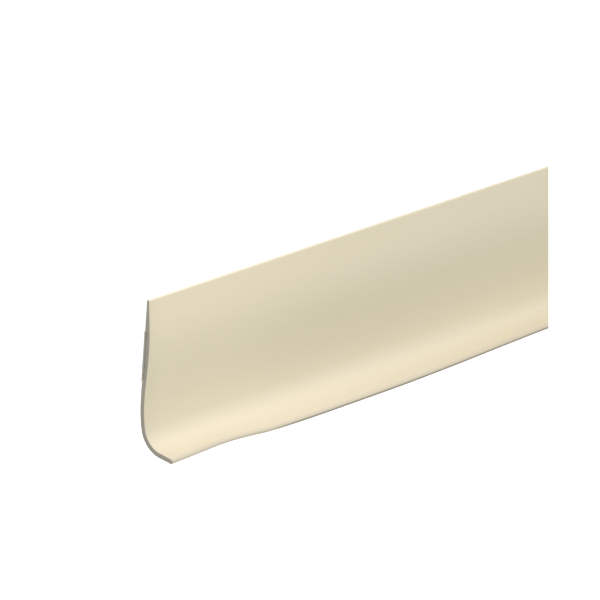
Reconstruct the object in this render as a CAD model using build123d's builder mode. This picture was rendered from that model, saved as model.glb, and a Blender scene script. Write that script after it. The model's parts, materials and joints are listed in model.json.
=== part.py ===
"""Self-adhesive vinyl door sweep, 36 in long and 2 in tall.

A dual-hardness extrusion: a stiffer mounting flange that is stuck to the foot of a door, and a soft wiper
lip that curves forward and down to brush the floor or the threshold. A shallow recess in the flange's back
holds a double-sided foam tape, and a release liner covers the tape's outer adhesive until the sweep is
fitted.

Frame: +X along the door, +Y into the door, +Z up. The front of the sweep faces -Y. The origin is on the
back of the liner, at the middle of the tape's width and of the sweep's length.
"""

import math
import os

from build123d import *

# Driving dimensions, in millimetres and degrees
LENGTH = 914.4  # 36 in, a full door's width
HEIGHT = 50.8  # 2 in, from the lip's tip to the flange's top edge
WEB = 1.6  # thickness of the lip and of the flange's lower edge
CROWN = 2.2  # thickness of the flange in front of the tape
TOP_EDGE = 1.0  # thickness of the flange at its feathered top edge
TOP_ROUND = 0.4  # edge radius along the top
LIP_REACH = 14.6  # how far the lip's tip stands forward of the flange's back
TIP_ROUND = 0.7  # edge radii along the lip's tip

TAPE_WIDTH = 15.9  # 5/8 in double-sided tape
FOAM_THICKNESS = 0.8
ADHESIVE_THICKNESS = 0.1  # each of the tape's two adhesive films
TAPE_PROUD = 0.15  # how far the tape stands out of its recess
TAPE_SIDE_GAP = 0.3  # bare recess above and below the tape
TAPE_END_GAP = 1.0  # the tape stops this far short of each cut end
TAPE_MIDDLE = 32.2  # height of the tape's middle above the lip's tip
LINER_THICKNESS = 0.1
LINER_OVERLAP = 0.25  # the liner covers this much more than the tape, above and below

CROWN_RISE = 2.0  # the thickest part of the flange is this far above the tape's middle
TOP_SLANT = 0.09  # forward slant of the front face at the top edge, per unit of height
EASE_RADIUS = 41.0  # back of the lip, where it starts to leave the door's plane
EASE_ANGLE = 12.7
COVE_RADIUS = 9.9  # back of the lip's tighter bend
LIP_DROOP = 11.0  # the lip's straight end falls by this angle from level

HINGE_RISE = 1.0  # the flexing line is this far above the start of the curve
LOWER_LAND = 2.0  # straight front of the flange above the flexing line
ROOT_GAP = 0.05  # running clearance of the lip's round root in the flange's groove

# Places that follow from those sizes. The section is drawn from its back: a point's "forward" is its
# distance in front of the flange's back, and its "height" is above the lip's tip.
TAPE_THICKNESS = FOAM_THICKNESS + 2 * ADHESIVE_THICKNESS
FLANGE_BACK = -(LINER_THICKNESS + TAPE_PROUD)  # y of the flange's back
ease = math.radians(EASE_ANGLE)
end = math.radians(90 - LIP_DROOP)
ease_forward = EASE_RADIUS * (1 - math.cos(ease))
cove_forward = ease_forward + COVE_RADIUS * (math.cos(ease) - math.cos(end))
end_length = (LIP_REACH - cove_forward) / math.sin(end)
cove_height = end_length * math.cos(end)
ease_height = cove_height + COVE_RADIUS * (math.sin(end) - math.sin(ease))
curve_top = ease_height + EASE_RADIUS * math.sin(ease)
hinge_height = curve_top + HINGE_RISE


def place(forward, height):
    """The (y, z) of a point of the section."""
    return (FLANGE_BACK - forward, height - TAPE_MIDDLE)


def arc_middle(radius, start, stop, forward, height):
    """The (y, z) half way along an arc that starts at (forward, height), while its heading turns from
    start to stop, in radians from straight down."""
    half = (start + stop) / 2
    return place(
        forward + radius * (math.cos(start) - math.cos(half)),
        height - radius * (math.sin(half) - math.sin(start)),
    )


def facing(forward, height, heading):
    """The front point that faces a back point of the lip, as (forward, height), one thickness away."""
    return (forward + WEB * math.cos(heading), height + WEB * math.sin(heading))


hinge_centre = place(WEB / 2, hinge_height)

# Mounting flange: flat back with the tape's recess, crowned front, feathered top and a grooved lower edge
with BuildPart() as mounting_flange:
    with BuildSketch(Plane.YZ):
        with BuildLine():
            back = Line(place(0, hinge_height), place(0, HEIGHT))
            top = Line(back @ 1, place(TOP_EDGE, HEIGHT))
            front = Spline(
                top @ 1,
                place(CROWN, TAPE_MIDDLE + CROWN_RISE),
                place(WEB, hinge_height + LOWER_LAND),
                tangents=[(-TOP_SLANT, -1), (0, -1)],
            )
            land = Line(front @ 1, place(WEB, hinge_height))
            Line(land @ 1, back @ 0)
        make_face()
        with Locations(place(0, TAPE_MIDDLE)):
            Rectangle(
                2 * (TAPE_THICKNESS - TAPE_PROUD),
                TAPE_WIDTH + 2 * TAPE_SIDE_GAP,
                mode=Mode.SUBTRACT,
            )
        with Locations(hinge_centre):
            Circle(WEB / 2 + ROOT_GAP, mode=Mode.SUBTRACT)
    extrude(amount=LENGTH / 2, both=True)
    top_edges = mounting_flange.edges().filter_by(Axis.X).group_by(Axis.Z)[-1]
    fillet(top_edges, TOP_ROUND)

# Wiper lip: round root in the flange's groove, an easy curve, a tighter cove and a straight end
with BuildPart() as wiper_lip:
    with BuildSketch(Plane.YZ):
        with BuildLine():
            back = Line(place(0, hinge_height), place(0, curve_top))
            back_ease = ThreePointArc(
                back @ 1,
                arc_middle(EASE_RADIUS, 0, ease, 0, curve_top),
                place(ease_forward, ease_height),
            )
            back_cove = ThreePointArc(
                back_ease @ 1,
                arc_middle(COVE_RADIUS, ease, end, ease_forward, ease_height),
                place(cove_forward, cove_height),
            )
            underside = Line(back_cove @ 1, place(LIP_REACH, 0))
            tip = Line(underside @ 1, place(*facing(LIP_REACH, 0, end)))
            upper = Line(tip @ 1, place(*facing(cove_forward, cove_height, end)))
            ease_front = facing(ease_forward, ease_height, ease)
            front_cove = ThreePointArc(
                upper @ 1,
                arc_middle(COVE_RADIUS - WEB, ease, end, *ease_front),
                place(*ease_front),
            )
            front_ease = ThreePointArc(
                front_cove @ 1,
                arc_middle(EASE_RADIUS - WEB, 0, ease, *facing(0, curve_top, 0)),
                place(WEB, curve_top),
            )
            front = Line(front_ease @ 1, place(WEB, hinge_height))
            Line(front @ 1, back @ 0)
        make_face()
        with Locations(hinge_centre):
            Circle(WEB / 2)
    extrude(amount=LENGTH / 2, both=True)
    tip_edges = wiper_lip.edges().filter_by(Axis.X).sort_by(Axis.Y)[:2]
    fillet(tip_edges, TIP_ROUND)

# Release liner: peels off the tape's outer adhesive, and its outer face is the plane of the door
with BuildPart() as release_liner:
    with BuildSketch(Plane.XZ):
        Rectangle(LENGTH, TAPE_WIDTH + 2 * LINER_OVERLAP)
    extrude(amount=LINER_THICKNESS)

# Double-sided tape, from the door's side forward: adhesive, foam, adhesive on the recess's floor
with BuildPart() as door_adhesive:
    with BuildSketch(Plane.XZ.offset(LINER_THICKNESS)):
        Rectangle(LENGTH - 2 * TAPE_END_GAP, TAPE_WIDTH)
    extrude(amount=ADHESIVE_THICKNESS)

with BuildPart() as foam_core:
    with BuildSketch(Plane.XZ.offset(LINER_THICKNESS + ADHESIVE_THICKNESS)):
        Rectangle(LENGTH - 2 * TAPE_END_GAP, TAPE_WIDTH)
    extrude(amount=FOAM_THICKNESS)

with BuildPart() as flange_adhesive:
    with BuildSketch(Plane.XZ.offset(LINER_THICKNESS + ADHESIVE_THICKNESS + FOAM_THICKNESS)):
        Rectangle(LENGTH - 2 * TAPE_END_GAP, TAPE_WIDTH)
    extrude(amount=ADHESIVE_THICKNESS)

mounting_flange.part.label = "mounting_flange"
wiper_lip.part.label = "wiper_lip"
release_liner.part.label = "release_liner"
door_adhesive.part.label = "door_adhesive"
foam_core.part.label = "foam_core"
flange_adhesive.part.label = "flange_adhesive"

os.makedirs("parts", exist_ok=True)
export_step(mounting_flange.part, "parts/mounting_flange.step")
export_step(wiper_lip.part, "parts/wiper_lip.step")
export_step(release_liner.part, "parts/release_liner.step")
export_step(door_adhesive.part, "parts/door_adhesive.step")
export_step(foam_core.part, "parts/foam_core.step")
export_step(flange_adhesive.part, "parts/flange_adhesive.step")

print(f"flexing line at y {hinge_centre[0]:.4f} mm, z {hinge_centre[1]:.4f} mm")
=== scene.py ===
"""A self-adhesive vinyl door sweep, dressed on a plain white ground.

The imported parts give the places. The vinyl is one extrusion here, as on the real sweep, and it bends where
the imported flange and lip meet. Lengths are in metres, and angles in degrees where a name says so.
"""

import json
import logging
import math
from dataclasses import dataclass, field
from enum import Enum

import bmesh
import bpy
from mathutils import Matrix, Vector, noise


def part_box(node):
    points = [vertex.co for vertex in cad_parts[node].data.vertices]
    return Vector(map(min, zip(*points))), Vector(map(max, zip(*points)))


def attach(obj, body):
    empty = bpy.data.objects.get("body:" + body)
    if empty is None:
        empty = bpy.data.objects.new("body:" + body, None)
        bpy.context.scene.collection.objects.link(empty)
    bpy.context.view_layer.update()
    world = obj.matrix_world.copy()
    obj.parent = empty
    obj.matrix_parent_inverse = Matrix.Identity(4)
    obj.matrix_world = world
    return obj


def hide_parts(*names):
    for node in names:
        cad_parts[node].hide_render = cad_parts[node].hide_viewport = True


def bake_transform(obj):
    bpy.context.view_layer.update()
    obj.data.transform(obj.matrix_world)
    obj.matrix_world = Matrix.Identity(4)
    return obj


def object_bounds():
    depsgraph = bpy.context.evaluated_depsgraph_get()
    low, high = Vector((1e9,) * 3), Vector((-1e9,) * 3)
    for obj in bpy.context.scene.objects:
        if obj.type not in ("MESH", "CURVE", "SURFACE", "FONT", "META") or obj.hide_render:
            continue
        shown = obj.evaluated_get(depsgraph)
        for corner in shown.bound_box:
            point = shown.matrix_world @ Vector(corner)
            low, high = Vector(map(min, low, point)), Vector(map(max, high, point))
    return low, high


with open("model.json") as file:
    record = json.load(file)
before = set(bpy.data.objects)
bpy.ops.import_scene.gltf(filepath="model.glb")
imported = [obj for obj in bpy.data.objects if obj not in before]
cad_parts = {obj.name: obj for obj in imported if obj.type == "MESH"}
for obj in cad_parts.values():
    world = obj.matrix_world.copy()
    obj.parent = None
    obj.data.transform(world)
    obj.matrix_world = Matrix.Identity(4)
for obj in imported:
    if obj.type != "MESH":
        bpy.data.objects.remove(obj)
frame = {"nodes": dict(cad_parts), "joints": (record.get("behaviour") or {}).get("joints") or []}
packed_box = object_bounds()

MILLIMETRE = 0.001
EDGE_PAINTED_SHADE = "edge_painted_shade"  # how much painted shade each vertex carries, the dark line under the lip's tip, from 0 on the lip to 1 at its tip
X_AXIS = Vector((1.0, 0.0, 0.0))
Z_AXIS = Vector((0.0, 0.0, 1.0))

log = logging.getLogger("door_sweep")


class Bodies(Enum):
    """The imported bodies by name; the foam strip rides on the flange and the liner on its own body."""

    FLANGE = "flange"
    LIP = "lip"
    LINER = "liner"


class Slots(Enum):
    """The record's material slot names; no piece here takes one."""

    LIP_VINYL = "lip_vinyl"
    FOAM = "foam"
    LINER = "liner"


# ---------------------------------------------------------------------------------------------------------
# Shader nodes
# ---------------------------------------------------------------------------------------------------------


class Field:
    """A number that varies over a surface: a node's socket that takes part in Python sums."""

    def __init__(self, bench: "Bench", socket: bpy.types.NodeSocket) -> None:
        """Wraps a socket of a node on the bench."""
        self.bench = bench
        self.socket = socket

    def _math(self, operation: str, *values: "float | Field") -> "Field":
        """Adds a Math node.

        Args:
            operation: the Math node's operation.
            values: its inputs, in order.

        Returns:
            The node's result.
        """
        inputs = dict(enumerate(values))
        node = self.bench.node("ShaderNodeMath", {"operation": operation}, inputs)
        return Field(self.bench, node.outputs[0])

    def __add__(self, other: "float | Field") -> "Field":
        """self + other."""
        return self._math("ADD", self, other)

    __radd__ = __add__

    def __sub__(self, other: "float | Field") -> "Field":
        """self - other."""
        return self._math("SUBTRACT", self, other)

    def __rsub__(self, other: "float | Field") -> "Field":
        """other - self."""
        return self._math("SUBTRACT", other, self)

    def __mul__(self, other: "float | Field") -> "Field":
        """self * other."""
        return self._math("MULTIPLY", self, other)

    __rmul__ = __mul__

    def __abs__(self) -> "Field":
        """The size of self, without its sign."""
        return self._math("ABSOLUTE", self)

    def fraction(self) -> "Field":
        """self without its whole part."""
        return self._math("FRACT", self)

    def between(self, low: float, high: float) -> "Field":
        """A smooth step of self.

        Args:
            low: where the step is 0.
            high: where the step is 1.

        Returns:
            A field from 0 to 1.
        """
        node = self.bench.node(
            "ShaderNodeMapRange",
            {"interpolation_type": "SMOOTHSTEP"},
            {"Value": self, "From Min": low, "From Max": high},
        )
        return Field(self.bench, node.outputs["Result"])


class Bench:
    """Lays the nodes of one material or world."""

    def __init__(self, tree: bpy.types.NodeTree) -> None:
        """Clears the tree and keeps it."""
        self.tree = tree
        tree.nodes.clear()

    def node(self, kind: str, settings: dict | None = None, inputs: dict | None = None) -> bpy.types.Node:
        """Adds a node.

        Args:
            kind: the node's type.
            settings: properties to set first, such as an operation.
            inputs: input name or index to a value, a socket or a Field.

        Returns:
            The node.
        """
        made = self.tree.nodes.new(kind)
        for name, value in (settings or {}).items():
            setattr(made, name, value)
        for key, value in (inputs or {}).items():
            source = value.socket if isinstance(value, Field) else value
            if isinstance(source, bpy.types.NodeSocket):
                self.tree.links.new(source, made.inputs[key])
            else:
                made.inputs[key].default_value = source
        return made

    def place(self) -> bpy.types.NodeSocket:
        """The point being shaded, in the object's own frame."""
        return self.node("ShaderNodeTexCoord").outputs["Object"]

    def axis(self, name: str) -> Field:
        """One coordinate of the point being shaded, by its letter."""
        parts = self.node("ShaderNodeSeparateXYZ", None, {"Vector": self.place()})
        return Field(self, parts.outputs[name])

    def painted(self, name: str) -> Field:
        """A value that the shape's own vertices carry, by its name."""
        return Field(self, self.node("ShaderNodeAttribute", {"attribute_name": name}).outputs["Fac"])

    def grain(self, stretch: tuple, detail: float = 2.0, roughness: float = 0.5) -> Field:
        """A noise pattern.

        Args:
            stretch: how many features there are in a metre, along X, Y and Z.
            detail: the noise's octaves.
            roughness: how strong the finer octaves are.

        Returns:
            A field around 0.5.
        """
        turned = self.node("ShaderNodeMapping", None, {"Vector": self.place(), "Scale": stretch})
        made = self.node(
            "ShaderNodeTexNoise",
            None,
            {"Vector": turned.outputs[0], "Scale": 1.0, "Detail": detail, "Roughness": roughness},
        )
        return Field(self, made.outputs["Fac"])

    def cells(self, stretch: tuple) -> Field:
        """A cell pattern.

        Args:
            stretch: how many cells there are in a metre, along X, Y and Z.

        Returns:
            The distance to the nearest cell's centre.
        """
        turned = self.node("ShaderNodeMapping", None, {"Vector": self.place(), "Scale": stretch})
        made = self.node(
            "ShaderNodeTexVoronoi", {"feature": "F1"}, {"Vector": turned.outputs[0], "Scale": 1.0}
        )
        return Field(self, made.outputs["Distance"])

    def tint(
        self,
        share: Field,
        first: tuple | bpy.types.NodeSocket,
        second: tuple | bpy.types.NodeSocket,
    ) -> bpy.types.NodeSocket:
        """A colour between two others.

        Args:
            share: how much of the second colour there is.
            first: a colour or a colour socket.
            second: a colour or a colour socket.

        Returns:
            The mixed colour's socket.
        """
        colours = [c if isinstance(c, bpy.types.NodeSocket) else (*c, 1.0) for c in (first, second)]
        made = self.node(
            "ShaderNodeMix", {"data_type": "RGBA"}, {0: share, 6: colours[0], 7: colours[1]}
        )
        return made.outputs[2]

    def relief(
        self, height: Field, depth: float, under: bpy.types.NodeSocket | None = None
    ) -> bpy.types.NodeSocket:
        """A bumped normal.

        Args:
            height: the relief's height, from 0 to 1.
            depth: how high 1 is, in metres.
            under: the normal that it lies on, if it isn't the surface's own.

        Returns:
            The normal's socket.
        """
        inputs = {"Height": height, "Distance": depth, "Strength": 1.0}
        if under is not None:
            inputs["Normal"] = under
        return self.node("ShaderNodeBump", None, inputs).outputs["Normal"]

    def surface(self, inputs: dict) -> None:
        """Ends a material in a Principled shader with these inputs."""
        shader = self.node("ShaderNodeBsdfPrincipled", None, inputs)
        self.node("ShaderNodeOutputMaterial", None, {"Surface": shader.outputs["BSDF"]})


def new_material(name: str) -> tuple[bpy.types.Material, Bench]:
    """An empty node material.

    Args:
        name: the material's name.

    Returns:
        The material and the bench for its nodes.
    """
    made = bpy.data.materials.new(name)
    made.use_nodes = True
    return made, Bench(made.node_tree)


# ---------------------------------------------------------------------------------------------------------
# Finishes
# ---------------------------------------------------------------------------------------------------------


@dataclass(frozen=True)
class VinylFinish:
    """Almond vinyl, satin from the die, with dull knife-cut ends."""

    light: tuple = (0.818, 0.752, 0.548)
    deep: tuple = (0.762, 0.697, 0.493)
    cut: tuple = (0.46, 0.43, 0.35)
    sawn: tuple = (0.58, 0.545, 0.45)
    # painted shade: a dark tone mixed into the lip's tip, standing in for the shadow under it
    painted_shade: tuple = (0.34, 0.315, 0.25)
    painted_shade_share: float = 0.36
    roughness: float = 0.46
    cut_roughness: float = 0.8
    draw_lines_per_metre: float = 900.0
    draw_line_depth: float = 0.004 * MILLIMETRE
    peel_per_metre: float = 1300.0
    peel_depth: float = 0.006 * MILLIMETRE
    swell_depth: float = 0.10 * MILLIMETRE
    cut_depth: float = 0.05 * MILLIMETRE
    cut_reach: float = 0.12 * MILLIMETRE
    scuffed: tuple = (0.86, 0.82, 0.70)

    def make(self, cut_at: float, middle: float) -> bpy.types.Material:
        """Makes the material.

        Args:
            cut_at: how far the cut ends are from the middle.
            middle: x of the sweep's middle.

        Returns:
            The material.
        """
        made, bench = new_material("almond_vinyl")
        cloud = bench.grain((9.0, 30.0, 30.0), 3.0, 0.55)
        fleck = bench.grain((260.0, 700.0, 700.0), 2.0, 0.5)
        lines = bench.grain((3.0, self.draw_lines_per_metre, self.draw_lines_per_metre), 3.0, 0.6)
        peel = bench.grain((self.peel_per_metre,) * 3, 2.0, 0.5)
        swell = bench.grain((14.0, 40.0, 40.0), 1.0, 0.4)
        scuff = bench.grain((60.0, 2400.0, 2400.0), 2.0, 0.4).between(0.66, 0.74)
        knife = bench.grain((900.0, 2600.0, 500.0), 3.0, 0.6)
        ends = abs(bench.axis("X") - middle).between(cut_at - self.cut_reach, cut_at)
        # painted shade: the lip's tip is darkened towards its edge, as the shadow under it would darken it
        painted_shade = bench.painted(EDGE_PAINTED_SHADE)

        body = bench.tint(cloud * 0.7 + fleck * 0.3, self.deep, self.light)
        shaded_body = bench.tint(painted_shade * self.painted_shade_share, body, self.painted_shade)
        rubbed = bench.tint(scuff * 0.10, shaded_body, self.scuffed)
        sawn = bench.tint(knife * 0.8, self.cut, self.sawn)
        colour = bench.tint(ends, rubbed, sawn)
        skin_roughness = self.roughness + 0.12 * (cloud - 0.5) + 0.08 * (lines - 0.5) + 0.10 * scuff
        roughness = skin_roughness + ends * (self.cut_roughness - skin_roughness)
        normal = bench.relief(swell, self.swell_depth)
        normal = bench.relief(lines * (1.0 - ends), self.draw_line_depth, normal)
        normal = bench.relief(peel * (1.0 - ends), self.peel_depth, normal)
        normal = bench.relief(knife * ends, self.cut_depth, normal)
        bench.surface(
            {"Base Color": colour, "Roughness": roughness, "Normal": normal, "Specular IOR Level": 0.42}
        )
        return made


@dataclass(frozen=True)
class FoamFinish:
    """Closed-cell foam with its cells cut open."""

    skin: tuple = (0.44, 0.42, 0.385)
    # painted shade: the darker tone in the hollow of each open cell
    pit_shade: tuple = (0.20, 0.19, 0.17)
    cells_per_metre: float = 5200.0
    pit_depth: float = 0.06 * MILLIMETRE

    def make(self) -> bpy.types.Material:
        """Makes the material."""
        made, bench = new_material("grey_foam")
        cells = bench.cells((self.cells_per_metre,) * 3)
        wall = cells.between(0.25, 0.62)
        cloud = bench.grain((700.0,) * 3, 2.0, 0.5)
        # painted shade in the cells' hollows, where the bump sinks, mixed with a random cloud
        colour = bench.tint(wall * 0.75 + cloud * 0.25, self.pit_shade, self.skin)
        bench.surface(
            {
                "Base Color": colour,
                "Roughness": 0.80 + 0.15 * cloud,
                "Normal": bench.relief(wall, self.pit_depth),
                "Specular IOR Level": 0.3,
            }
        )
        return made


@dataclass(frozen=True)
class AdhesiveFinish:
    """Tacky acrylic film, glossy where the liner has pressed it flat and dull in its tiny bubbles."""

    film: tuple = (0.66, 0.61, 0.49)
    bubble: tuple = (0.78, 0.75, 0.66)

    def make(self) -> bpy.types.Material:
        """Makes the material."""
        made, bench = new_material("acrylic_adhesive")
        bubbles = 1.0 - bench.cells((900.0, 900.0, 900.0)).between(0.10, 0.26)
        wash = bench.grain((40.0, 160.0, 160.0), 3.0, 0.6)
        bench.surface(
            {
                "Base Color": bench.tint(bubbles * 0.5 + wash * 0.25, self.film, self.bubble),
                "Roughness": 0.14 + 0.16 * wash + 0.35 * bubbles,
                "Normal": bench.relief(wash * 0.6 + bubbles * 0.4, 0.05 * MILLIMETRE),
                "Specular IOR Level": 0.6,
            }
        )
        return made


@dataclass(frozen=True)
class LinerFinish:
    """Siliconed paper: faint fibres under a thin, slightly glossy coat, with pale slanted ruling."""

    paper: tuple = (0.93, 0.92, 0.88)
    shade: tuple = (0.86, 0.85, 0.81)
    rule: tuple = (0.74, 0.80, 0.85)
    rules_per_metre: float = 62.0
    rule_share: float = 0.10

    def make(self) -> bpy.types.Material:
        """Makes the material."""
        made, bench = new_material("siliconed_paper")
        fibres = bench.grain((1400.0, 5000.0, 5000.0), 3.0, 0.6)
        cockle = bench.grain((55.0, 90.0, 90.0), 2.0, 0.5)
        streak = bench.grain((4.0, 1100.0, 1100.0), 2.0, 0.5)
        slant = (bench.axis("X") + bench.axis("Z")) * self.rules_per_metre
        band = abs(slant.fraction() - 0.5)
        ruled = 1.0 - band.between(self.rule_share * 0.4, self.rule_share * 0.5)
        paper = bench.tint(fibres * 0.6 + streak * 0.4, self.shade, self.paper)
        normal = bench.relief(cockle, 0.25 * MILLIMETRE)
        bench.surface(
            {
                "Base Color": bench.tint(ruled * 0.5, paper, self.rule),
                "Roughness": 0.36 + 0.14 * streak + 0.08 * ruled,
                "Normal": bench.relief(fibres, 0.012 * MILLIMETRE, normal),
                "Specular IOR Level": 0.5,
            }
        )
        return made


@dataclass(frozen=True)
class GroundFinish:
    """White studio ground, lit so that it stays white under the sweep."""

    white: float = 0.86
    lift: float = 0.5

    def make(self) -> bpy.types.Material:
        """Makes the material."""
        made, bench = new_material("white_ground")
        mottle = bench.grain((3.0, 3.0, 3.0), 2.0, 0.5)
        tone = bench.tint(mottle, (self.white,) * 3, (self.white + 0.02,) * 3)
        bench.surface(
            {
                "Base Color": tone,
                "Roughness": 0.9,
                "Specular IOR Level": 0.0,
                "Emission Color": (1.0, 1.0, 1.0, 1.0),
                "Emission Strength": self.lift,
            }
        )
        return made


# ---------------------------------------------------------------------------------------------------------
# Mesh tools
# ---------------------------------------------------------------------------------------------------------


def finished(name: str, shape: bmesh.types.BMesh, finish: bpy.types.Material) -> bpy.types.Object:
    """Makes an object of a finished shape, with creases kept sharp.

    Args:
        name: the object's name.
        shape: the shape, which is freed.
        finish: its material.

    Returns:
        The object, at the origin.
    """
    crease = math.radians(32)
    bmesh.ops.recalc_face_normals(shape, faces=shape.faces)
    for face in shape.faces:
        face.smooth = True
    for edge in shape.edges:
        edge.smooth = len(edge.link_faces) == 2 and edge.calc_face_angle(0.0) < crease
    mesh = bpy.data.meshes.new(name)
    shape.to_mesh(mesh)
    shape.free()
    mesh.materials.append(finish)
    made = bpy.data.objects.new(name, mesh)
    bpy.context.scene.collection.objects.link(made)
    return made


def runs_along(edge: bmesh.types.BMEdge) -> bool:
    """Whether an edge runs along X."""
    first, second = (vert.co for vert in edge.verts)
    return abs(first.x - second.x) > 0.9 * (first - second).length


def cut_across(shape: bmesh.types.BMesh, gap: float) -> None:
    """Cuts the long faces of a shape evenly across X, so that it can bend along its length.

    Args:
        shape: the shape.
        gap: about how far apart the cuts are.
    """
    longest = max(edge.calc_length() for edge in shape.edges)
    long_edges = [e for e in shape.edges if runs_along(e) and e.calc_length() > 0.9 * longest]
    cuts = round(longest / gap) - 1
    bmesh.ops.subdivide_edges(shape, edges=long_edges, cuts=cuts, use_grid_fill=True)


class SectionPen:
    """Draws an extrusion's outline, in a plane across X, by straight runs and arcs.

    A heading is the angle from straight down, and it grows towards the front.
    """

    def __init__(self, start: Vector) -> None:
        """Sets the pen on its first point, heading straight down."""
        self.shape = bmesh.new()
        self.tip = self.shape.verts.new(start)
        self.heading = 0.0

    def _ahead(self) -> Vector:
        """The direction that the pen moves in."""
        return Vector((0.0, -math.sin(self.heading), -math.cos(self.heading)))

    def _inward(self) -> Vector:
        """The direction square to the heading, towards the centre of a turn that adds to it."""
        return Vector((0.0, -math.cos(self.heading), math.sin(self.heading)))

    def run(self, length: float) -> None:
        """Draws a straight run."""
        self.go_to(self.tip.co + self._ahead() * length)

    def go_to(self, point: Vector) -> None:
        """Draws a straight line to a point."""
        drawn = bmesh.ops.extrude_vert_indiv(self.shape, verts=[self.tip])
        start, self.tip = self.tip, drawn["verts"][0]
        bmesh.ops.translate(self.shape, verts=[self.tip], vec=point - start.co)

    def turn(self, radius: float, degrees: float, steps: int) -> None:
        """Draws an arc.

        Args:
            radius: the arc's radius.
            degrees: how much the heading grows; negative turns the other way.
            steps: how many edges the arc has.
        """
        angle = math.radians(degrees)
        centre = self.tip.co + self._inward() * math.copysign(radius, angle)
        drawn = bmesh.ops.spin(
            self.shape, geom=[self.tip], cent=centre, axis=X_AXIS, angle=-angle, steps=steps, use_merge=False
        )
        self.tip = next(part for part in drawn["geom_last"] if isinstance(part, bmesh.types.BMVert))
        self.heading += angle

    def close(self) -> bmesh.types.BMesh:
        """Joins the last point to the first and fills the outline.

        Returns:
            The shape, one flat face.
        """
        bmesh.ops.remove_doubles(self.shape, verts=self.shape.verts, dist=1e-6)
        bmesh.ops.edgeloop_fill(self.shape, edges=self.shape.edges)
        return self.shape


# ---------------------------------------------------------------------------------------------------------
# The sweep
# ---------------------------------------------------------------------------------------------------------


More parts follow.
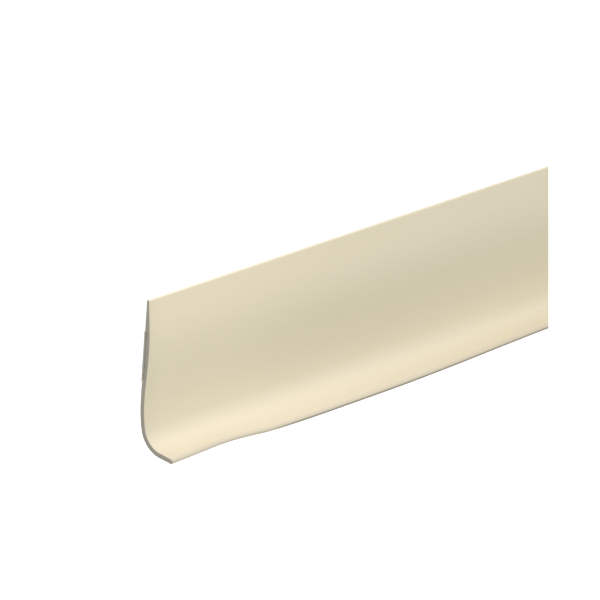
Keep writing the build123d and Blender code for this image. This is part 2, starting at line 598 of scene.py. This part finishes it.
@dataclass
class VinylExtrusion:
    """The flange and the lip, one continuous extrusion whose soft lip isn't quite straight."""

    finish: VinylFinish = field(default_factory=VinylFinish)
    web: float = 1.6 * MILLIMETRE
    crown: float = 2.2 * MILLIMETRE
    top_edge: float = 1.0 * MILLIMETRE
    top_round: float = 0.4 * MILLIMETRE
    tip_round: float = 0.7 * MILLIMETRE
    tip_crest: float = 0.5 * MILLIMETRE
    tip_ease: float = 3.0 * MILLIMETRE
    tip_shoulder: float = 62.0
    tip_spare: float = 0.2 * MILLIMETRE
    hinge_rise: float = 1.0 * MILLIMETRE
    lower_land: float = 2.0 * MILLIMETRE
    ease_radius: float = 41.0 * MILLIMETRE
    ease_degrees: float = 12.7
    cove_radius: float = 9.9 * MILLIMETRE
    droop_degrees: float = 11.0
    recess_depth: float = 0.85 * MILLIMETRE
    recess_margin: float = 0.16 * MILLIMETRE
    recess_round: float = 0.12 * MILLIMETRE
    crown_power: float = 1.3
    crown_cuts: int = 26
    cut_round: float = 0.09 * MILLIMETRE
    station_gap: float = 7.0 * MILLIMETRE
    bend_joints: int = 8
    bend_above: float = 3.5 * MILLIMETRE
    bend_below: float = 6.5 * MILLIMETRE
    trim_per_radian: float = 3.6 * MILLIMETRE
    # The lip's curl along the sweep: distance from the left end in millimetres, and degrees above its
    # lowest set. Soft lips take such waves where they are coiled and packed.
    curls: tuple = (
        (0, 7.0), (10, 8.6), (24, 11.0), (34, 8.0), (42, 3.6), (54, 1.0), (70, 0.0), (90, 0.0),
        (108, 0.6), (130, 3.4), (155, 8.0), (180, 11.5), (215, 11.0), (270, 6.0), (340, 1.2), (420, 2.4),
        (500, 6.4), (580, 3.0), (660, 0.4), (740, 3.8), (825, 6.6), (915, 4.2),
    )  # fmt: skip

    def __post_init__(self) -> None:
        """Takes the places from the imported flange, lip and tape."""
        flange_low, flange_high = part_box("mounting_flange")
        lip_low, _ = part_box("wiper_lip")
        tape_low, tape_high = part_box("foam_core")
        self.left, self.right = flange_low.x, flange_high.x
        self.back = flange_high.y
        self.top = flange_high.z
        self.tape = (tape_low.z - self.recess_margin, tape_high.z + self.recess_margin)
        self.hinge = Vector(frame["joints"][0]["pos_m"])
        ease, end = math.radians(self.ease_degrees), math.radians(90 - self.droop_degrees)
        turned = self.cove_radius * (math.cos(ease) - math.cos(end))
        cove_forward = self.ease_radius * (1 - math.cos(ease)) + turned
        tip_outward = self.web * math.cos(end) - self.tip_round * (math.cos(end) + math.sin(end) - 1)
        reach = self.back - lip_low.y - tip_outward
        shoulder = math.radians(self.tip_shoulder)
        self.tip_back = self.tip_crest * (1 - math.cos(shoulder)) + self.tip_ease * math.cos(shoulder)
        tip_drop = self.tip_crest * math.sin(shoulder) + self.tip_ease * (1 - math.sin(shoulder))
        self.tip_face = self.web - self.tip_round - tip_drop
        self.tip_reach = lip_low.y
        self.tip_line = lip_low.y + self.tip_back + self.tip_spare
        self.end_run = (reach - cove_forward) / math.sin(end)
        self.curve_top = self.hinge.z - self.hinge_rise
        self.cove_centre = (
            self.back - self.ease_radius * (1 - math.cos(ease)) - self.cove_radius * math.cos(ease),
            self.curve_top - (self.ease_radius - self.cove_radius) * math.sin(ease),
        )
        self.cove_span = (ease, end)

    def _outline(self) -> bmesh.types.BMesh:
        """Draws the section at the left end.

        Returns:
            The section, one flat face.
        """
        low, high = self.tape
        small, tip, cove = self.recess_round, self.tip_round, 90 - self.droop_degrees - self.ease_degrees
        pen = SectionPen(Vector((self.left, self.back, self.top - self.top_round)))
        pen.run(self.top - self.top_round - high)
        pen.turn(small, 90, 3)
        pen.run(self.recess_depth - 2 * small)
        pen.turn(small, -90, 3)
        pen.run(high - low - 4 * small)
        pen.turn(small, -90, 3)
        pen.run(self.recess_depth - 2 * small)
        pen.turn(small, 90, 3)
        pen.run(pen.tip.co.z - self.curve_top)
        pen.turn(self.ease_radius, self.ease_degrees, 12)
        pen.turn(self.cove_radius, cove, 20)
        pen.run(self.end_run - tip)
        pen.turn(tip, 90, 6)
        pen.run(self.tip_face)
        pen.turn(self.tip_crest, self.tip_shoulder, 5)
        pen.turn(self.tip_ease, 90 - self.tip_shoulder, 6)
        pen.run(self.end_run - self.tip_back)
        pen.turn(self.cove_radius - self.web, -cove, 20)
        pen.turn(self.ease_radius - self.web, -self.ease_degrees, 12)
        pen.run(self.hinge_rise + self.lower_land)
        foot = pen.tip.co.copy()
        pen.go_to(Vector((self.left, self.back - self.top_edge, self.top - self.top_round)))
        pen.turn(self.top_round, 90, 4)
        pen.run(self.top_edge - 2 * self.top_round)
        pen.turn(self.top_round, 90, 4)
        self._crown(pen.shape, foot)
        return pen.close()

    def _crown(self, shape: bmesh.types.BMesh, foot: Vector) -> None:
        """Swells the straight front of the flange over the tape.

        Args:
            shape: the outline.
            foot: the lower end of the flange's front.
        """
        rise = self.top - self.top_round - foot.z
        ahead = [e for e in shape.edges if e.verts[0].co.y < self.back - self.web / 3]
        front = max(ahead, key=lambda e: e.calc_length())
        bmesh.ops.subdivide_edges(shape, edges=[front], cuts=self.crown_cuts)
        middle = 0.5 * (self.web + self.top_edge)
        for vert in shape.verts:
            share = (vert.co.z - foot.z) / rise
            if 0 < share < 1 and vert.co.y < self.back - self.recess_depth - 1e-5:
                swell = (self.crown - middle) * math.sin(math.pi * share) ** self.crown_power
                bmesh.ops.translate(shape, verts=[vert], vec=(0, -swell, 0))

    def _curl(self, x: float) -> float:
        """The lip's curl at a place along the sweep, in radians, on a smooth curve through the table."""
        along = (x - self.left) / MILLIMETRE
        spans = zip(self.curls, self.curls[1:])
        index = next((i for i, (_, b) in enumerate(spans) if along <= b[0]), len(self.curls) - 2)
        knots = [self.curls[min(max(index + k, 0), len(self.curls) - 1)] for k in (-1, 0, 1, 2)]
        (_, a), (start, b), (stop, c), (_, d) = knots
        t = min(max((along - start) / (stop - start), 0.0), 1.0)
        cubic = b + 0.5 * t * (c - a + t * (2 * a - 5 * b + 4 * c - d + t * (3 * (b - c) + d - a)))
        return math.radians(max(cubic, 0.0))

    def _bend_lip(self, shape: bmesh.types.BMesh) -> None:
        """Curls the lip at every station, a little at each of several joints along its cove.

        Each vertex first takes its share of the painted shade at the lip's tip, from where it stands before
        the bend.

        Args:
            shape: the extruded shape, cut into stations.
        """
        centre_y, centre_z = self.cove_centre
        ease, end = self.cove_span
        # painted shade along the lip's tip: 0 behind the tip line, 1 at the tip
        tip_shade_layer = shape.verts.layers.float.new(EDGE_PAINTED_SHADE)
        for vert in shape.verts:
            towards_tip = (self.tip_line - vert.co.y) / (self.tip_line - self.tip_reach)
            vert[tip_shade_layer] = min(max(towards_tip, 0.0), 1.0)
        stations: dict[int, list] = {}
        for vert in shape.verts:
            around = math.atan2(centre_z - vert.co.z, vert.co.y - centre_y)
            if vert.co.z < self.curve_top and around > ease:
                stations.setdefault(round(vert.co.x * 1e7), []).append((around, vert))
        middle_radius = self.cove_radius - self.web / 2
        for key, ring in stations.items():
            x = key * 1e-7
            curl = self._curl(x)
            if curl < 1e-5:
                continue
            tips = [v for _, v in ring if v.co.y < self.tip_line]
            for step in reversed(range(self.bend_joints)):
                angle = ease + (end - ease) * (step + 0.5) / self.bend_joints
                pivot_y = centre_y + middle_radius * math.cos(angle)
                pivot_z = centre_z - middle_radius * math.sin(angle)
                pivot = Vector((x, pivot_y, pivot_z))
                turn = Matrix.Rotation(-curl / self.bend_joints, 3, "X")
                moved = [v for around, v in ring if around > angle]
                bmesh.ops.rotate(shape, verts=moved, cent=pivot, matrix=turn)
            bmesh.ops.translate(shape, verts=tips, vec=(0, self.trim_per_radian * curl, 0))

    def build(self) -> bpy.types.Object:
        """Extrudes the section, rounds its cut edges and lets the lip wave.

        Returns:
            The piece, one extrusion from the flange to the lip.
        """
        shape = self._outline()
        grown = bmesh.ops.extrude_face_region(shape, geom=list(shape.faces))["geom"]
        far = [part for part in grown if isinstance(part, bmesh.types.BMVert)]
        bmesh.ops.translate(shape, verts=far, vec=(self.right - self.left, 0, 0))
        rims = [e for e in shape.edges if not runs_along(e)]
        bmesh.ops.bevel(
            shape, geom=rims, offset=self.cut_round, segments=2, profile=0.5, affect="EDGES", material=-1
        )
        cut_across(shape, self.station_gap)
        self._bend_lip(shape)
        vinyl = self.finish.make(self.right - self._middle(), self._middle())
        made = finished("vinyl_extrusion", shape, vinyl)
        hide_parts("mounting_flange", "wiper_lip")
        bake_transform(made)
        return made

    def _middle(self) -> float:
        """x of the sweep's middle."""
        return 0.5 * (self.left + self.right)


@dataclass
class FoamTape:
    """The double-sided tape: a foam strip with ragged cut edges between two adhesive films."""

    foam: FoamFinish = field(default_factory=FoamFinish)
    adhesive: AdhesiveFinish = field(default_factory=AdhesiveFinish)
    station_gap: float = 2.0 * MILLIMETRE
    rag: float = 0.08 * MILLIMETRE
    rag_per_metre: float = 420.0
    edge_round: float = 0.12 * MILLIMETRE

    def build(self) -> bpy.types.Object:
        """Makes the foam strip and dresses the adhesive films.

        Returns:
            The foam strip.
        """
        low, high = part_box("foam_core")
        size, middle = high - low, (low + high) / 2
        shape = bmesh.new()
        block = Matrix.Translation(middle) @ Matrix.Diagonal((*size, 1.0))
        bmesh.ops.create_cube(shape, size=1.0, matrix=block)
        long_edges = [e for e in shape.edges if runs_along(e)]
        bmesh.ops.bevel(
            shape,
            geom=long_edges,
            offset=self.edge_round,
            segments=2,
            profile=0.5,
            affect="EDGES",
            material=-1,
        )
        cut_across(shape, self.station_gap)
        for vert in shape.verts:
            ragged = 0.5 + 0.5 * noise.noise(vert.co * self.rag_per_metre)
            inward = math.copysign(self.rag * ragged, middle.z - vert.co.z)
            bmesh.ops.translate(shape, verts=[vert], vec=(0, 0, inward))
        made = finished("foam_strip", shape, self.foam.make())
        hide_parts("foam_core")
        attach(made, Bodies.FLANGE.value)
        film = self.adhesive.make()
        for node in ("flange_adhesive", "door_adhesive"):
            frame["nodes"][node].data.materials.clear()
            frame["nodes"][node].data.materials.append(film)
        return made


@dataclass
class PeelLiner:
    """The release liner, slit a little unevenly along its two long edges."""

    finish: LinerFinish = field(default_factory=LinerFinish)
    station_gap: float = 4.0 * MILLIMETRE
    drift: float = 0.05 * MILLIMETRE
    drift_per_metre: float = 26.0

    def build(self) -> bpy.types.Object:
        """Makes the liner.

        Returns:
            The liner, which rides on its own body.
        """
        low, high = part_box("release_liner")
        size, middle = high - low, (low + high) / 2
        shape = bmesh.new()
        sheet = Matrix.Translation(middle) @ Matrix.Diagonal((*size, 1.0))
        bmesh.ops.create_cube(shape, size=1.0, matrix=sheet)
        cut_across(shape, self.station_gap)
        for vert in shape.verts:
            side = math.copysign(1.0, vert.co.z - middle.z)
            along = Vector((vert.co.x * self.drift_per_metre, 3.0 * side, 0.0))
            inward = -side * self.drift * (0.5 + 0.5 * noise.noise(along))
            bmesh.ops.translate(shape, verts=[vert], vec=(0, 0, inward))
        made = finished("peel_liner", shape, self.finish.make())
        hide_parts("release_liner")
        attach(made, Bodies.LINER.value)
        return made


# ---------------------------------------------------------------------------------------------------------
# The studio
# ---------------------------------------------------------------------------------------------------------


@dataclass(frozen=True)
class Lamp:
    """A soft rectangular lamp that shines straight down."""

    name: str
    middle: tuple
    length: float
    width: float
    power: float
    colour: tuple = (1.0, 0.92, 1.08)

    def build(self) -> bpy.types.Object:
        """Hangs the lamp up, out of the camera's sight."""
        light = bpy.data.lights.new(self.name, "AREA")
        light.shape = "RECTANGLE"
        light.size = self.length
        light.size_y = self.width
        light.energy = self.power
        light.color = self.colour
        made = bpy.data.objects.new(self.name, light)
        made.location = self.middle
        made.visible_camera = False
        bpy.context.scene.collection.objects.link(made)
        return made


@dataclass
class Studio:
    """A white tent of even light, dimmer on the left, with a strip lamp above and one near the left end."""

    ground_finish: GroundFinish = field(default_factory=GroundFinish)
    backdrop_radius: float = 25.0
    floor_drop: float = 60.0 * MILLIMETRE
    tent: float = 0.905
    left_dimming: float = 0.55
    lamps: tuple = (
        Lamp("strip_lamp", (0.0, -0.034, 0.25), 1.1, 0.10, 0.36),
        Lamp("end_lamp", (-0.465, -0.045, 0.19), 0.12, 0.12, 0.15),
    )
    flag_start: float = 50.0 * MILLIMETRE
    flag_width: float = 26.0 * MILLIMETRE
    flag_forward: float = 13.0 * MILLIMETRE
    flag_drop: float = 4.4 * MILLIMETRE
    flag_black: float = 0.02

    def build_backdrop(self) -> bpy.types.Object:
        """Makes the floor and the wall behind it, one white dome with a flat floor.

        Returns:
            The backdrop, which isn't part of the object and sends no light back to it.
        """
        low, _ = packed_box
        shape = bmesh.new()
        bmesh.ops.create_uvsphere(shape, u_segments=64, v_segments=32, radius=self.backdrop_radius)
        floor = low.z - self.floor_drop
        everything = [*shape.verts, *shape.edges, *shape.faces]
        cut = bmesh.ops.bisect_plane(
            shape, geom=everything, dist=1e-6, plane_co=(0, 0, floor), plane_no=Z_AXIS, clear_inner=True
        )
        rim = [part for part in cut["geom_cut"] if isinstance(part, bmesh.types.BMEdge)]
        bmesh.ops.edgeloop_fill(shape, edges=rim)
        made = finished("backdrop", shape, self.ground_finish.make())
        made.visible_diffuse = False
        made.visible_glossy = False
        made.visible_shadow = False
        return made

    def build_flag(self) -> bpy.types.Object:
        """Lays a black flag under the lip, which shades its underside as a floor in contact would.

        Returns:
            The flag, which the camera doesn't see.
        """
        low, high = packed_box
        start = low.x + self.flag_start
        middle = Vector(((start + high.x) / 2, low.y - self.flag_forward + self.flag_width / 2, low.z))
        size = Matrix.Diagonal((high.x - start, self.flag_width, 1.0, 1.0))
        shape = bmesh.new()
        place = Matrix.Translation(middle - Z_AXIS * self.flag_drop) @ size
        bmesh.ops.create_grid(shape, x_segments=1, y_segments=1, size=0.5, matrix=place)
        made = finished("flag", shape, GroundFinish(self.flag_black, 0.0).make())
        made.visible_camera = False
        return made

    def build_tent(self) -> None:
        """Lights the scene evenly from everywhere but the left."""
        scene = bpy.context.scene
        scene.world = bpy.data.worlds.new("tent")
        scene.world.use_nodes = True
        bench = Bench(scene.world.node_tree)
        direction = bench.node("ShaderNodeTexCoord").outputs["Generated"]
        aside = bench.node("ShaderNodeVectorMath", {"operation": "DOT_PRODUCT"}, {0: direction, 1: -X_AXIS})
        leftward = Field(bench, aside.outputs["Value"]).between(0.0, 1.0)
        strength = self.tent * (1.0 - self.left_dimming * leftward)
        white = (1.0, 1.0, 1.0, 1.0)
        tent = bench.node("ShaderNodeBackground", None, {"Color": white, "Strength": strength})
        bench.node("ShaderNodeOutputWorld", None, {"Surface": tent.outputs[0]})
        scene.view_settings.view_transform = "Standard"


@dataclass
class StudioCamera:
    """A long lens from the front left and above, turned a little about its own axis."""

    azimuth: float = -48.79
    elevation: float = 21.65
    roll: float = 4.03
    distance: float = 2.6
    lens: float = 504.8
    aim_from_end: float = 67.6 * MILLIMETRE
    aim_forward: float = 2.55 * MILLIMETRE
    aim_height: float = 2.4 * MILLIMETRE
    card_distance: float = 0.5
    card_edge: float = 0.4145
    card_width: float = 0.12

    def build(self) -> bpy.types.Object:
        """Sets the camera up.

        Returns:
            The scene's camera.
        """
        low, _ = packed_box
        aim = Vector((low.x + self.aim_from_end, -self.aim_forward, self.aim_height))
        azimuth, elevation, roll = (math.radians(v) for v in (self.azimuth, self.elevation, self.roll))
        level = math.cos(elevation)
        back = Vector((math.sin(azimuth) * level, -math.cos(azimuth) * level, math.sin(elevation)))
        across = Vector((math.cos(azimuth), math.sin(azimuth), 0.0))
        up = back.cross(across)
        right = across * math.cos(roll) + up * math.sin(roll)
        data = bpy.data.cameras.new("studio_camera")
        data.lens = self.lens
        made = bpy.data.objects.new("studio_camera", data)
        bpy.context.scene.collection.objects.link(made)
        turn = Matrix((right, back.cross(right), back)).transposed().to_4x4()
        made.matrix_world = Matrix.Translation(aim + back * self.distance) @ turn
        bpy.context.scene.camera = made
        self._card(made.matrix_world, data.sensor_width / self.lens)
        return made

    def _card(self, camera: Matrix, spread: float) -> None:
        """Hangs a white card beside the lens, which ends the picture's right side.

        Args:
            camera: where the camera stands.
            spread: the picture's width at a distance of 1 metre.
        """
        width = spread * self.card_distance
        shape = bmesh.new()
        size = Matrix.Diagonal((self.card_width * width, 1.2 * width, 1.0, 1.0))
        middle = (self.card_edge + self.card_width / 2) * width
        place = camera @ Matrix.Translation((middle, 0.0, -self.card_distance)) @ size
        bmesh.ops.create_grid(shape, x_segments=1, y_segments=1, size=0.5, matrix=place)
        made = finished("side_card", shape, GroundFinish(lift=1.1).make())
        for kind in ("diffuse", "glossy", "transmission", "volume_scatter", "shadow"):
            setattr(made, f"visible_{kind}", False)


def main() -> None:
    """Builds the sweep and the studio, and reports each piece."""
    logging.basicConfig(level=logging.INFO, format="%(name)s: %(message)s")
    for part in (VinylExtrusion(), FoamTape(), PeelLiner()):
        made = part.build()
        log.info("%s: %d faces", made.name, len(made.data.polygons))
    studio = Studio()
    studio.build_tent()
    lamps = [lamp.build() for lamp in studio.lamps]
    for made in (studio.build_backdrop(), studio.build_flag(), *lamps, StudioCamera().build()):
        log.info("%s set up", made.name)


if __name__ == "__main__":
    main()
